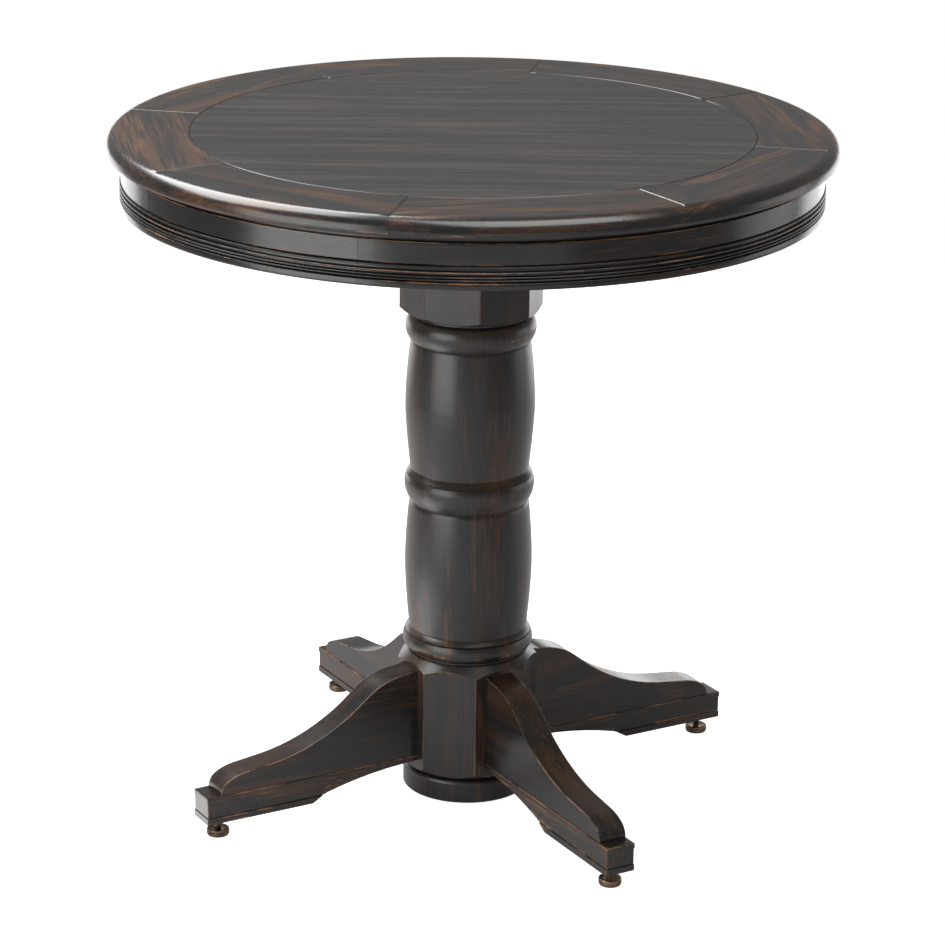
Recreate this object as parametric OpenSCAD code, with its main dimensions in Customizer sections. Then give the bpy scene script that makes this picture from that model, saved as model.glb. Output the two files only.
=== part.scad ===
// Round pedestal gaming table: a lift-off top over a recessed, cloth-lined play bed,
// a turned eight-stave post and four bracketed legs on screw levellers.
// Millimetres. Origin on the floor under the post, +Z up, the legs on the diagonals.

/* [Top] */
// Diameter of the top
top_d = 1066.8; // [1040:0.1:1100]
// Height of the top surface above the floor
table_h = 1027.2; // [1020:0.1:1050]
// Thickness of the top
top_t = 28; // [26:0.5:32]
// Radius of the round on the upper edge
edge_r = 19; // [16:0.5:19]
// Diameter of the centre panel inside the mitred border
panel_d = 824; // [780:1:840]
// Width of the V grooves over the joints of the top
groove_w = 3; // [2:0.5:4]
// Turn of the lift-off top against the base, as it was last put down
top_turn = 3.2; // [0:0.1:8]
// How far the loose splines reach into each border mitre
spline_reach = 20; // [12:1:24]

/* [Apron] */
// Outer diameter of the flat face of the apron
apron_d = 1024; // [1016:1:1030]
// Thickness of the apron
apron_t = 22; // [20:1:24]
// Height of the apron, lower edge to bumper seat
apron_h = 70.2; // [68:0.1:72]
// Turn of the apron joints from the X axis
apron_turn = -2; // [-5:0.5:0]
// Thickness of the rubber bumpers that the top rests on
bumper_t = 2.5; // [2:0.5:3]

/* [Play bed] */
// Depth of the play bed, top of the apron to the cloth
bed_depth = 29.7; // [24:0.1:31]
// Thickness of the playing cloth with its foam
cloth_t = 3; // [2:0.5:4]
// Thickness of the bed panel
bed_t = 18; // [16:1:18]
// Width of the cross rails under the bed
rail_w = 80; // [60:1:90]

/* [Post] */
// Width of the octagonal blocks across their flats
block_af = 197.7; // [196:0.1:200]
// Thickness of the staves at the blocks
stave_t = 43; // [38:1:46]
// Gap between the foot of the post and the floor
post_gap = 3; // [2:0.5:4]

/* [Legs] */
// Reach of a leg from the post's axis to the end of its toe
leg_reach = 451.3; // [445:0.1:460]
// Width of the leg rail at its mouldings
leg_w = 47.8; // [46:0.1:50]
// Width of the bracket that stands on the rail
bracket_w = 44.8; // [42:0.1:45]
// Height of the leg's underside above the floor
leg_z = 27; // [26:0.5:30]
// Height of the rail
rail_h = 42.7; // [42:0.1:44]

/* [Levellers] */
// Distance of the levellers from the post's axis
leveller_x = 424; // [410:1:430]
// Diameter of the leveller disc
disc_d = 33.5; // [28:0.5:36]
// Diameter of the leveller's threaded stud
stud_d = 10; // [8:1:10]

/* [Hidden] */
$fn = 48;
eps = 0.1;

// Colours
lacquer = [0.13, 0.12, 0.12];
rubbed = [0.24, 0.15, 0.10];
bare_wood = [0.72, 0.58, 0.42];
green_cloth = [0.08, 0.30, 0.16];
steel = [0.62, 0.62, 0.64];
bronze = [0.38, 0.29, 0.20];
rubber = [0.06, 0.06, 0.06];

// The ring is divided into eight border and eight apron segments, and the post into eight staves
sides = 8;
step = 360 / sides;
leg_angles = [-45, 45, 135, -135];

top_r = top_d / 2;
panel_r = panel_d / 2;
top_z0 = table_h - top_t;
lip_in = 7;
lip_h = 3.3;
tongue_t = 8;
tongue_reach = 10;
spline_t = 6;
spline_len = 76;
fit_gap = 0.2;

apron_r = apron_d / 2;
apron_in = apron_r - apron_t;
apron_z1 = top_z0 - bumper_t;
apron_z0 = apron_z1 - apron_h;
reveal_h = 6.1;
reveal_in = 6;
bead_out = 2.4;

cloth_z1 = apron_z1 - bed_depth;
bed_z1 = cloth_z1 - cloth_t;
bed_z0 = bed_z1 - bed_t;
plate_t = 20.7;
plate_z1 = apron_z0 + 0.5;
plate_z0 = plate_z1 - plate_t;

flat_r = block_af / 2;
corner_r = flat_r / cos(step / 2);
hollow_r = flat_r - stave_t;
post_z1 = plate_z0;

rail_z1 = leg_z + rail_h;
bracket_top = 210.5;
pad_t = 2;
disc_t = 8.3;
stud_top = 54;
thread_gap = 0.05;

// Points of an arc about [x, y], in n steps
function arc(x, y, r, a0, a1, n) =
    [for (i = [0:n]) [x + r * cos(a0 + (a1 - a0) * i / n), y + r * sin(a0 + (a1 - a0) * i / n)]];

// Points of a line of tangent moves from p at heading h: [length] is a straight,
// [radius, turn] an arc that turns left for a positive turn
function run(moves, p, h, i = 0) =
    i == len(moves) ? [p] :
    len(moves[i]) == 1
        ? concat([p], run(moves, p + moves[i][0] * [cos(h), sin(h)], h, i + 1))
        : let (
              turn = moves[i][1],
              r = moves[i][0] * sign(turn),
              c = p + r * [-sin(h), cos(h)],
              n = ceil(abs(turn) / 4)
          )
          concat(
              [for (k = [0:n - 1]) c + r * [sin(h + turn * k / n), -cos(h + turn * k / n)]],
              run(moves, c + r * [sin(h + turn), -cos(h + turn)], h + turn, i + 1)
          );

// Half-round reed on the apron's face between two heights
function reed(z0, z1, r) =
    [for (i = [0:4]) [r - bead_out * (1 - sin(180 * i / 4)), z0 + (z1 - z0) * (1 - cos(180 * i / 4)) / 2]];

module ring_copies(angles) {
    for (a = angles)
        rotate([0, 0, a]) children();
}

// Wood screw pointing up, its head let in flush at z = 0
module wood_screw(length, r = 2.4) {
    cylinder(h = length, r = r);
    cylinder(h = 2.2 * r, r1 = 2.1 * r, r2 = r);
}

// ---- Top ----

// V groove along +X from x0 to x1, cut from the top surface
module v_groove(x0, x1) {
    translate([x0, 0, table_h])
        rotate([90, 0, 90])
            linear_extrude(height = x1 - x0)
                polygon([[-groove_w / 2, 0], [0, -groove_w / 2], [groove_w / 2, 0], [groove_w / 2, 1], [-groove_w / 2, 1]]);
}

module border_profile() {
    tongue_z = top_z0 + (top_t - tongue_t) / 2;
    polygon(concat(
        [[panel_r, top_z0], [top_r - lip_in, top_z0], [top_r - lip_in + 0.6, top_z0 + lip_h],
         [top_r - 4, top_z0 + lip_h + 1.4], [top_r - 1.6, top_z0 + lip_h + 2]],
        arc(top_r - edge_r, table_h - edge_r, edge_r, -10, 90, 14),
        [[panel_r + groove_w / 2, table_h], [panel_r, table_h - groove_w / 2],
         [panel_r, tongue_z + tongue_t + fit_gap], [panel_r + tongue_reach + 0.5, tongue_z + tongue_t + fit_gap],
         [panel_r + tongue_reach + 0.5, tongue_z - fit_gap], [panel_r, tongue_z - fit_gap]]
    ));
}

module spline_blank(extra = 0) {
    z = top_z0 + 9;
    translate([panel_r + 22, -spline_reach - extra, z - extra])
        cube([spline_len, 2 * (spline_reach + extra), spline_t + 2 * extra]);
}

cleat_angles = [for (k = [0:3]) top_turn + step / 2 + 90 * k];
cleat_size = [16, 70, 18];
cleat_r = 466;

module cleat_screw_set() {
    ring_copies(cleat_angles)
        for (y = [-22, 22])
            translate([cleat_r + cleat_size[0] / 2, y, top_z0 - cleat_size[2]])
                wood_screw(32, 2);
}

module border_segment(k) {
    color(k % 2 == 0 ? lacquer : rubbed)
        difference() {
            rotate([0, 0, top_turn + step * (k - 1)])
                difference() {
                    rotate_extrude(angle = step, $fn = 96) border_profile();
                    for (a = [0, step])
                        rotate([0, 0, a]) {
                            v_groove(panel_r - 1, top_r + 1);
                            spline_blank(fit_gap);
                        }
                }
            cleat_screw_set();
        }
}

module centre_panel() {
    tongue_z = top_z0 + (top_t - tongue_t) / 2;
    r = panel_r - eps / 2;
    color(lacquer)
        rotate([0, 0, top_turn])
            rotate_extrude($fn = 96)
                polygon([[0, top_z0], [r, top_z0], [r, tongue_z], [r + tongue_reach, tongue_z],
                         [r + tongue_reach, tongue_z + tongue_t], [r, tongue_z + tongue_t],
                         [r, table_h - groove_w / 2], [r - groove_w / 2, table_h], [0, table_h]]);
}

module border_splines() {
    color(bare_wood)
        ring_copies([for (k = [0:sides - 1]) top_turn + step * k]) spline_blank();
}

module locating_cleats() {
    color(bare_wood)
        difference() {
            ring_copies(cleat_angles)
                translate([cleat_r, -cleat_size[1] / 2, top_z0 - cleat_size[2]]) cube(cleat_size);
            cleat_screw_set();
        }
}

module cleat_screws() {
    color(steel) cleat_screw_set();
}

// ---- Apron ----

module apron_profile() {
    face_z0 = apron_z0 + 34.3;
    face_z1 = apron_z1 - reveal_h;
    r = apron_r + bead_out;
    g = apron_r - 2.3;
    polygon(concat(
        [[apron_in, apron_z0], [r - 0.6, apron_z0], [r, apron_z0 + 0.6], [r, apron_z0 + 8.5],
         [r - 0.6, apron_z0 + 9.2], [g, apron_z0 + 11]],
        reed(apron_z0 + 11.2, apron_z0 + 14.4, r),
        [[g, apron_z0 + 14.6]],
        reed(apron_z0 + 15.3, apron_z0 + 18.6, r),
        [[g, apron_z0 + 18.9], [g, apron_z0 + 21]],
        reed(apron_z0 + 21.3, apron_z0 + 25, r),
        [[g, apron_z0 + 25.3], [g, apron_z0 + 28]],
        reed(apron_z0 + 28.5, apron_z0 + 32.3, r - 0.3),
        [[g + 0.6, apron_z0 + 32.8], [apron_r - 0.8, face_z0 - 0.8], [apron_r, face_z0],
         [apron_r, face_z1 - 1], [apron_r - 1, face_z1], [apron_r - reveal_in, face_z1],
         [apron_r - reveal_in, apron_z1], [apron_in, apron_z1]]
    ));
}

// Loose spline across an apron joint, upright in the end faces
module apron_spline_blank(extra = 0) {
    translate([apron_r - 14 - extra, -15 - extra, apron_z0 + 14 - extra])
        cube([5 + 2 * extra, 30 + 2 * extra, 44 + 2 * extra]);
}

ledge_h = 18;
ledge_x = apron_in - 38;
ledge_len = 240;
ledge_angles = [for (k = [0:sides - 1]) step / 2 + step * k];

// Horizontal screws that hold the ledge blocks to the apron, heads inside
module ledge_screw_set() {
    ring_copies(ledge_angles)
        for (y = [-70, 70])
            translate([ledge_x, y, bed_z0 - ledge_h / 2])
                rotate([0, 90, 0]) wood_screw(44, 2);
}

module apron_segment(k) {
    color(k % 2 == 0 ? lacquer : rubbed)
        difference() {
            rotate([0, 0, apron_turn + step * (k - 1)])
                difference() {
                    rotate_extrude(angle = step, $fn = 96) apron_profile();
                    for (a = [0, step])
                        rotate([0, 0, a]) apron_spline_blank(fit_gap);
                }
            ledge_screw_set();
        }
}

module apron_splines() {
    color(bare_wood)
        ring_copies([for (k = [0:sides - 1]) apron_turn + step * k]) apron_spline_blank();
}

module top_bumpers() {
    color(rubber)
        ring_copies([for (k = [0:sides - 1]) apron_turn + step * (k + 0.5)])
            translate([apron_in + 8, 0, apron_z1]) cylinder(h = bumper_t, r = 6);
}

// ---- Play bed ----

module ledge_blocks() {
    color(bare_wood)
        difference() {
            intersection() {
                ring_copies(ledge_angles)
                    translate([ledge_x, -ledge_len / 2, bed_z0 - ledge_h]) cube([50, ledge_len, ledge_h]);
                translate([0, 0, bed_z0 - ledge_h - 1]) cylinder(h = ledge_h + 2, r = apron_in - eps, $fn = 96);
            }
            ledge_screw_set();
        }
}

module ledge_screws() {
    color(steel) ledge_screw_set();
}

module bed_panel() {
    color(bare_wood)
        translate([0, 0, bed_z0]) cylinder(h = bed_t, r = apron_in - 0.5, $fn = 96);
}

module playing_cloth() {
    color(green_cloth)
        translate([0, 0, bed_z1]) cylinder(h = cloth_t, r = apron_in - 0.8, $fn = 96);
}

cross_h = bed_z0 - plate_z1;
plate_screw_x = 150;
plate_screw_y = 24;

module plate_screw_set() {
    ring_copies([0, 90, 180, 270])
        for (y = [-plate_screw_y, plate_screw_y])
            translate([plate_screw_x, y, plate_z0]) wood_screw(36);
}

module cross_rail_blank() {
    intersection() {
        translate([-apron_in, -rail_w / 2, plate_z1]) cube([2 * apron_in, rail_w, cross_h]);
        translate([0, 0, plate_z1 - 1]) cylinder(h = cross_h + 2, r = apron_in - 1, $fn = 96);
    }
}

// The lower half of the crossing stays on this rail
module cross_rail_long() {
    color(bare_wood)
        difference() {
            cross_rail_blank();
            translate([-rail_w / 2, -rail_w, plate_z1 + cross_h / 2])
                cube([rail_w, 2 * rail_w, cross_h]);
            plate_screw_set();
        }
}

// The upper half of the crossing stays on this one
module cross_rail_lapped() {
    color(bare_wood)
        difference() {
            rotate([0, 0, 90]) cross_rail_blank();
            translate([-rail_w, -rail_w / 2, plate_z1 - cross_h / 2])
                cube([2 * rail_w, rail_w, cross_h]);
            plate_screw_set();
        }
}

plate_bolt_x = 78;

module plate_bolt_set(r = 4) {
    ring_copies(leg_angles)
        translate([plate_bolt_x, 0, plate_z0 - 60]) {
            cylinder(h = 60 + plate_t, r = r);
            translate([0, 0, 60 + plate_t]) cylinder(h = 1.6, r = 12);
            translate([0, 0, 60 + plate_t + 1.6]) cylinder(h = 5.3, r = 7.5, $fn = 6);
        }
}

module mounting_plate() {
    color(bare_wood)
        difference() {
            translate([0, 0, plate_z0])
                rotate([0, 0, step / 2]) cylinder(h = plate_t, r = 205, $fn = 8);
            plate_screw_set();
            plate_bolt_set();
        }
}

module plate_screws() {
    color(steel) plate_screw_set();
}

module plate_bolts() {
    color(steel) plate_bolt_set();
}

// ---- Post ----

// Half a barrel, from its end (re at height ze) towards its widest place (rw at height zw)
function barrel(rw, zw, re, ze, power, n) =
    [for (i = [0:n - 1])
        let (f = 1 - i / n)
        [rw - (rw - re) * pow(f, power), zw + (ze - zw) * f]];
function reverse_list(list) = [for (i = [len(list) - 1:-1:0]) list[i]];

// Outline of the turning, foot to top, as [radius, height]
function post_outline() = concat(
    // Foot drum with a rounded shoulder, and the quirk above it
    [[94.9, post_gap], [96.9, post_gap + 2]],
    arc(89.9, 32, 7, 0, 90, 5),
    [[86, 39], [86, 41.1]],
    // Lower block, its flats run out on turned cones
    [[94, 41.1], [corner_r + 2, 52.5], [corner_r + 2, 205.5], [91, 223.5]],
    // Lower ring: torus, bead and cove
    [[88, 223.5], [88, 226.3]],
    arc(83.9, 241, 14.9, -64, 0, 6),
    arc(70.8, 241, 28, 5, 25, 3),
    [[94.2, 253.6], [95.2, 255.4], [93.6, 258], [91, 260.4], [89, 262.2]],
    // Lower barrel
    barrel(96.25, 364, 89.55, 263.6, 1.55, 8),
    reverse_list(barrel(96.25, 364, 90.65, 456.9, 1.8, 8)),
    // Middle ring
    [[89.6, 460], [88.3, 462]],
    arc(50.65, 490.5, 47, -36, 0, 7),
    arc(71.65, 492, 26, 4, 28, 3),
    [[93.6, 504.9], [94.3, 506.4], [92.4, 508.8], [90, 511], [88.6, 512.8]],
    // Upper barrel
    barrel(97.15, 611, 89.15, 514, 1.4, 8),
    reverse_list(barrel(97.15, 611, 90.25, 707.7, 1.6, 8)),
    // Upper ring and quirk
    [[89.6, 709.6], [88.8, 711.2]],
    arc(62.6, 734.5, 35, -40, 0, 7),
    arc(75.6, 734.5, 22, 8, 48, 4),
    [[88.5, 752], [88.5, 756.4]],
    // Upper block
    [[96.5, 756.6], [corner_r + 2, 763.8], [corner_r + 2, post_z1], [hollow_r - 20, post_z1], [hollow_r - 20, post_gap]]
);

leg_bolt_z = [95, 175];
leg_bolt_r = 4.5;

// Hanger bolts of the legs, from the hollow of the post into the brackets
module leg_bolt_set(r = leg_bolt_r) {
    ring_copies(leg_angles)
        for (z = leg_bolt_z)
            translate([hollow_r - 16, 0, z])
                rotate([0, 90, 0]) cylinder(h = 16 + stave_t + 62, r = r);
}

// Stave 1 lies along +X; the odd staves face between the legs and the even ones carry them
module post_stave(k) {
    a = step * (k - 1);
    color(k % 2 == 0 ? lacquer : rubbed)
        difference() {
            rotate([0, 0, a])
                intersection() {
                    rotate([0, 0, -step / 2]) rotate_extrude(angle = step, $fn = 96) polygon(post_outline());
                    translate([hollow_r, -60, 0]) cube([stave_t, 120, post_z1 + 1]);
                }
            leg_bolt_set();
            plate_bolt_set();
        }
}

// ---- Legs: each is drawn along +X and turned into place ----

// Side view of the bracket, from its toe over the S curve to the post
function bracket_outline() = concat(
    run([[24, 60], [75, 23], [42], [294, -31.3], [25], [107, 38.3]], [428.5, rail_z1], 90),
    [[flat_r, bracket_top], [flat_r, rail_z1]]
);

// Arch under the rail, from its sharp outer corner to the post
function arch_outline() = concat(
    [[277, leg_z - 1], [277, leg_z]],
    run([[17], [50, 15], [600, 12]], [277, leg_z], 150),
    [[flat_r - 1, 62.2], [flat_r - 1, leg_z - 1]]
);

module side_extrude(width) {
    rotate([90, 0, 0])
        translate([0, 0, -width / 2]) linear_extrude(height = width) children();
}

// Moulded section of the rail: [height above the underside, how far it is set in]
rail_steps = [[0, 0], [9.5, 2], [11, 0.8], [34.2, 0], [rail_h, 0]];
// Screws up through the rail into the bracket: [distance from the axis, height of the head, length]
rail_screw_list = [[170, 60, 50], [330, 40, 55]];

module rail_screw_set() {
    for (s = rail_screw_list)
        translate([s[0], 0, s[1]]) wood_screw(s[2], 3);
}

module leg_rail(k) {
    color(lacquer)
        rotate([0, 0, leg_angles[k - 1]])
            difference() {
                for (i = [0:3]) {
                    z = rail_steps[i][0];
                    inset = rail_steps[i][1];
                    translate([flat_r, inset - leg_w / 2, leg_z + z])
                        cube([leg_reach - inset - flat_r, leg_w - 2 * inset, rail_steps[i + 1][0] - z]);
                }
                side_extrude(leg_w + 2) polygon(arch_outline());
                translate([leveller_x, 0, leg_z]) {
                    translate([0, 0, -1]) cylinder(h = 21, r = 8);
                    cylinder(h = 34, r = 6);
                }
                rail_screw_set();
                for (s = rail_screw_list)
                    translate([s[0], 0, leg_z - 1]) cylinder(h = s[1] - leg_z + 1, r = 7);
            }
}

module leg_bracket(k) {
    color(rubbed)
        difference() {
            rotate([0, 0, leg_angles[k - 1]])
                difference() {
                    side_extrude(bracket_w) polygon(bracket_outline());
                    rail_screw_set();
                }
            leg_bolt_set();
        }
}

module leg_bolts() {
    color(steel) leg_bolt_set();
}

module leg_nuts() {
    color(steel)
        ring_copies(leg_angles)
            for (z = leg_bolt_z)
                translate([hollow_r, 0, z])
                    rotate([0, -90, 0])
                        difference() {
                            union() {
                                cylinder(h = 1.6, r = 11);
                                translate([0, 0, 1.6]) cylinder(h = 8, r = 9.2, $fn = 6);
                            }
                            translate([0, 0, -1]) cylinder(h = 12, r = leg_bolt_r);
                        }
}

module rail_screws() {
    color(steel) ring_copies(leg_angles) rail_screw_set();
}

// ---- Levellers ----

module leveller_inserts() {
    color(steel)
        ring_copies(leg_angles)
            translate([leveller_x, 0, leg_z])
                difference() {
                    cylinder(h = 20, r = 8);
                    translate([0, 0, -1]) cylinder(h = 22, r = stud_d / 2 + thread_gap);
                }
}

module leveller_stud(k) {
    r = disc_d / 2;
    color(bronze)
        ring_copies([leg_angles[k - 1]])
            translate([leveller_x, 0, pad_t]) {
                rotate_extrude()
                    polygon([[0, 0], [r - 0.6, 0], [r, 0.6], [r, disc_t - 1.6], [r - 0.5, disc_t - 0.5],
                             [r - 1.6, disc_t], [0, disc_t]]);
                cylinder(h = stud_top - pad_t, r = stud_d / 2);
            }
}

module leveller_pad(k) {
    color(rubber)
        ring_copies([leg_angles[k - 1]])
            translate([leveller_x, 0, 0]) cylinder(h = pad_t, r = disc_d / 2 - 1);
}

centre_panel();
border_segment(1);  // border_segment_1
border_segment(2);  // border_segment_2
border_segment(3);  // border_segment_3
border_segment(4);  // border_segment_4
border_segment(5);  // border_segment_5
border_segment(6);  // border_segment_6
border_segment(7);  // border_segment_7
border_segment(8);  // border_segment_8
border_splines();
locating_cleats();
cleat_screws();
apron_segment(1);  // apron_segment_1
apron_segment(2);  // apron_segment_2
apron_segment(3);  // apron_segment_3
apron_segment(4);  // apron_segment_4
apron_segment(5);  // apron_segment_5
apron_segment(6);  // apron_segment_6
apron_segment(7);  // apron_segment_7
apron_segment(8);  // apron_segment_8
apron_splines();
top_bumpers();
ledge_blocks();
ledge_screws();
bed_panel();
playing_cloth();
cross_rail_long();
cross_rail_lapped();
mounting_plate();
plate_screws();
plate_bolts();
post_stave(1);  // post_stave_1
post_stave(2);  // post_stave_2
post_stave(3);  // post_stave_3
post_stave(4);  // post_stave_4
post_stave(5);  // post_stave_5
post_stave(6);  // post_stave_6
post_stave(7);  // post_stave_7
post_stave(8);  // post_stave_8
leg_rail(1);  // leg_rail_1
leg_rail(2);  // leg_rail_2
leg_rail(3);  // leg_rail_3
leg_rail(4);  // leg_rail_4
leg_bracket(1);  // leg_bracket_1
leg_bracket(2);  // leg_bracket_2
leg_bracket(3);  // leg_bracket_3
leg_bracket(4);  // leg_bracket_4
leg_bolts();
leg_nuts();
rail_screws();
leveller_inserts();
leveller_stud(1);  // leveller_stud_1
leveller_stud(2);  // leveller_stud_2
leveller_stud(3);  // leveller_stud_3
leveller_stud(4);  // leveller_stud_4
leveller_pad(1);  // leveller_pad_1
leveller_pad(2);  // leveller_pad_2
leveller_pad(3);  // leveller_pad_3
leveller_pad(4);  // leveller_pad_4
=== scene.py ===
import math

import bmesh
import bpy
from mathutils import Matrix, Vector


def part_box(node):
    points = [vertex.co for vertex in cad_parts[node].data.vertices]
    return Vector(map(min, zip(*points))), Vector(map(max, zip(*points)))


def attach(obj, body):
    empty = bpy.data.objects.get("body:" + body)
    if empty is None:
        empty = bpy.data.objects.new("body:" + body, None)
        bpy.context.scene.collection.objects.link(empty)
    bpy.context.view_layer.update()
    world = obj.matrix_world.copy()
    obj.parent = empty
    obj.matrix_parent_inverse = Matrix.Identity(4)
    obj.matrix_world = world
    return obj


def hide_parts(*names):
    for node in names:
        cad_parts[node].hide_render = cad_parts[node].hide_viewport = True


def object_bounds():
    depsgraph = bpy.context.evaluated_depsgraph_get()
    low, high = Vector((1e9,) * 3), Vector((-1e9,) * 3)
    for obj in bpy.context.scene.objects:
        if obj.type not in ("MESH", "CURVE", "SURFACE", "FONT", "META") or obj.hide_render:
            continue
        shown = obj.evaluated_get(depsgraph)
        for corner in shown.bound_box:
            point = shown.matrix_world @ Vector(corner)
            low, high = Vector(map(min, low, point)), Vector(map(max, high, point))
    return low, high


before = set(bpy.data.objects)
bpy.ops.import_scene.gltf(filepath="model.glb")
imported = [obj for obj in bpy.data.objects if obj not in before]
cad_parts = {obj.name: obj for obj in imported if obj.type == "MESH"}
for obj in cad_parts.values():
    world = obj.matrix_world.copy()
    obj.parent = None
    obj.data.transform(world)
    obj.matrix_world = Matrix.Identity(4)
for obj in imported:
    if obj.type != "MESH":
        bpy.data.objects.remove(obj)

cad_low, cad_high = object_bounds()
mm = 0.001
eighth = math.radians(45)


# ---- Post ----
# One turned column glued up from eight hardwood staves, round in its barrels and rings and
# octagonal where the legs and the apron meet it. The black lacquer is rubbed through on the
# corners, along the rings and in patches down the grain.

stave_low, stave_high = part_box("post_stave_1")
flat_r = stave_high.x / mm
hollow_r = stave_low.x / mm
post_foot = stave_low.z / mm
post_top = stave_high.z / mm
past_corner = flat_r / math.cos(eighth / 2) + 2
seam_ease = 0.25
corner_ease = 0.5
arris_band = 1.7
black = (0.0082, 0.0078, 0.0078, 1)
brown_black = (0.038, 0.0180, 0.0098, 1)
post_brown = (0.060, 0.0255, 0.0122, 1)
edge_brown = (0.20, 0.092, 0.040, 1)
pore_black = (0.003, 0.003, 0.003, 1)


def arc(r, z, radius, first, last, steps):
    """Points of an arc about (r, z), from one angle to another in degrees."""
    turn = [math.radians(first + (last - first) * i / steps) for i in range(steps + 1)]
    return [(r + radius * math.cos(a), z + radius * math.sin(a)) for a in turn]


def swell(end_r, end_z, widest_r, widest_z, power, steps):
    """Points of half a barrel, from its end to just short of its widest place."""
    away = [1 - i / steps for i in range(steps)]
    drop, rise = widest_r - end_r, end_z - widest_z
    return [(widest_r - drop * f ** power, widest_z + rise * f) for f in away]


def outline_face(points, worn, margin=arris_band):
    """One upright face from an outline of (radius, height) in millimetres. A long side gets a point
    near each end, and points by a worn arris or crest (radius, height, how worn, reach) are marked."""
    bm = bmesh.new()
    wear = bm.verts.layers.float.new("wear")
    full = []
    for a, b in zip(points, points[1:] + points[:1]):
        a, b = Vector(a), Vector(b)
        full.append(a)
        if (b - a).length > 2.5 * margin:
            step = (b - a).normalized() * margin
            full += [a + step, b - step]
    corners = []
    for p in full:
        corner = bm.verts.new((p.x * mm, 0, p.y * mm))
        near = [s * (1 - math.dist(p, (r, z)) / (reach or [margin])[0]) for r, z, s, *reach in worn]
        corner[wear] = max([0, *near])
        corners.append(corner)
    bm.faces.new(corners)
    return bm


def sweep(bm, first, turn, steps):
    """Sweeps the outline about the post's axis into a closed wedge."""
    everything = bm.verts[:] + bm.edges[:] + bm.faces[:]
    bmesh.ops.rotate(bm, verts=bm.verts[:], cent=(0, 0, 0), matrix=Matrix.Rotation(first, 3, "Z"))
    bmesh.ops.spin(
        bm, geom=everything, cent=(0, 0, 0), axis=(0, 0, 1), dvec=(0, 0, 0), angle=turn, steps=steps
    )
    bmesh.ops.recalc_face_normals(bm, faces=bm.faces[:])


def plane_off(bm, spot, normal):
    """Cuts away what lies beyond a plane and closes the cut. Gives the faces on the plane."""
    spot, normal = Vector(spot) * mm, Vector(normal)
    everything = bm.verts[:] + bm.edges[:] + bm.faces[:]
    made = bmesh.ops.bisect_plane(
        bm, geom=everything, dist=1e-7, plane_co=spot, plane_no=normal, clear_outer=True
    )
    rim = [e for e in made["geom_cut"] if isinstance(e, bmesh.types.BMEdge)]
    bmesh.ops.holes_fill(bm, edges=rim, sides=0)
    return [f for f in bm.faces if all(abs((v.co - spot).dot(normal)) < 1e-6 for v in f.verts)]


def score(bm, spot, normal):
    """Adds a line of points where a plane crosses, so that wear can fade out there."""
    everything = bm.verts[:] + bm.edges[:] + bm.faces[:]
    bmesh.ops.bisect_plane(
        bm, geom=everything, dist=1e-7, plane_co=Vector(spot) * mm, plane_no=Vector(normal)
    )


def ease(bm, edges, width, worn, segments=2):
    """Rounds edges over, and marks the rounds as worn."""
    made = bmesh.ops.bevel(
        bm, geom=edges, offset=width * mm, offset_type="OFFSET", affect="EDGES",
        segments=segments, profile=0.5, material=-1, clamp_overlap=True,
    )
    wear = bm.verts.layers.float["wear"]
    for f in made["faces"]:
        for v in f.verts:
            v[wear] = max(v[wear], worn)


def lay_grain(bm, along, across):
    """Stores each point's place in its board, length first, so that the figure follows the board."""
    grain = bm.verts.layers.float_vector.new("grain")
    along, across = Vector(along), Vector(across)
    for v in bm.verts:
        v[grain] = (v.co.dot(along), v.co.dot(across), v.co.dot(along.cross(across)))


def piece(name, bm, material, body, nodes, turn=0, board=0, crease=34):
    """Turns a copy of the bmesh about the post and makes it a piece that rides on a body and stands
    for CAD nodes. Each board takes its figure from another part of the wood."""
    mesh = bpy.data.meshes.new(name)
    bm.to_mesh(mesh)
    mesh.transform(Matrix.Rotation(turn, 4, "Z"))
    if "grain" in mesh.attributes:
        shift = Vector((0.73, 0.41, 0.29)) * board
        for point in mesh.attributes["grain"].data:
            point.vector = Vector(point.vector) + shift
    mesh.shade_smooth()
    mesh.set_sharp_from_angle(angle=math.radians(crease))
    mesh.materials.append(material)
    obj = bpy.data.objects.new(name, mesh)
    bpy.context.scene.collection.objects.link(obj)
    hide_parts(*nodes)
    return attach(obj, body)


def add(tree, kind, inputs, **settings):
    """Adds a shader node and fills its inputs with values or with other nodes' outputs."""
    made = tree.nodes.new("ShaderNode" + kind)
    for key, value in settings.items():
        setattr(made, key, value)
    for key, value in inputs.items():
        if isinstance(value, bpy.types.NodeSocket):
            tree.links.new(value, made.inputs[key])
        else:
            made.inputs[key].default_value = value
    return made.outputs


def maths(tree, operation, a, b=0.0):
    """One sum on two values."""
    return add(tree, "Math", {0: a, 1: b}, operation=operation)[0]


def stretched_noise(tree, vector, stretch, detail=3, warp=0.0):
    """Noise whose grains are 1/stretch metres long each way."""
    scaled = add(tree, "VectorMath", {0: vector, 1: stretch}, operation="MULTIPLY")[0]
    return add(tree, "TexNoise", {"Vector": scaled, "Scale": 1, "Detail": detail, "Distortion": warp})[0]


def step_up(tree, value, low, high, top=1.0):
    """Rises smoothly from 0 to top as the value goes from low to high."""
    return add(
        tree, "MapRange", {"Value": value, "From Min": low, "From Max": high, "To Max": top},
        interpolation_type="SMOOTHSTEP",
    )[0]


def blend_colour(tree, share, a, b):
    """Goes from colour a to colour b as the share goes from 0 to 1."""
    return add(tree, "Mix", {0: share, 6: a, 7: b}, data_type="RGBA")[2]


def weigh(tree, *shares):
    """Adds up values by their shares."""
    total = 0.0
    for value, share in shares:
        total = maths(tree, "ADD", maths(tree, "MULTIPLY", value, share), total)
    return total


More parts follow.
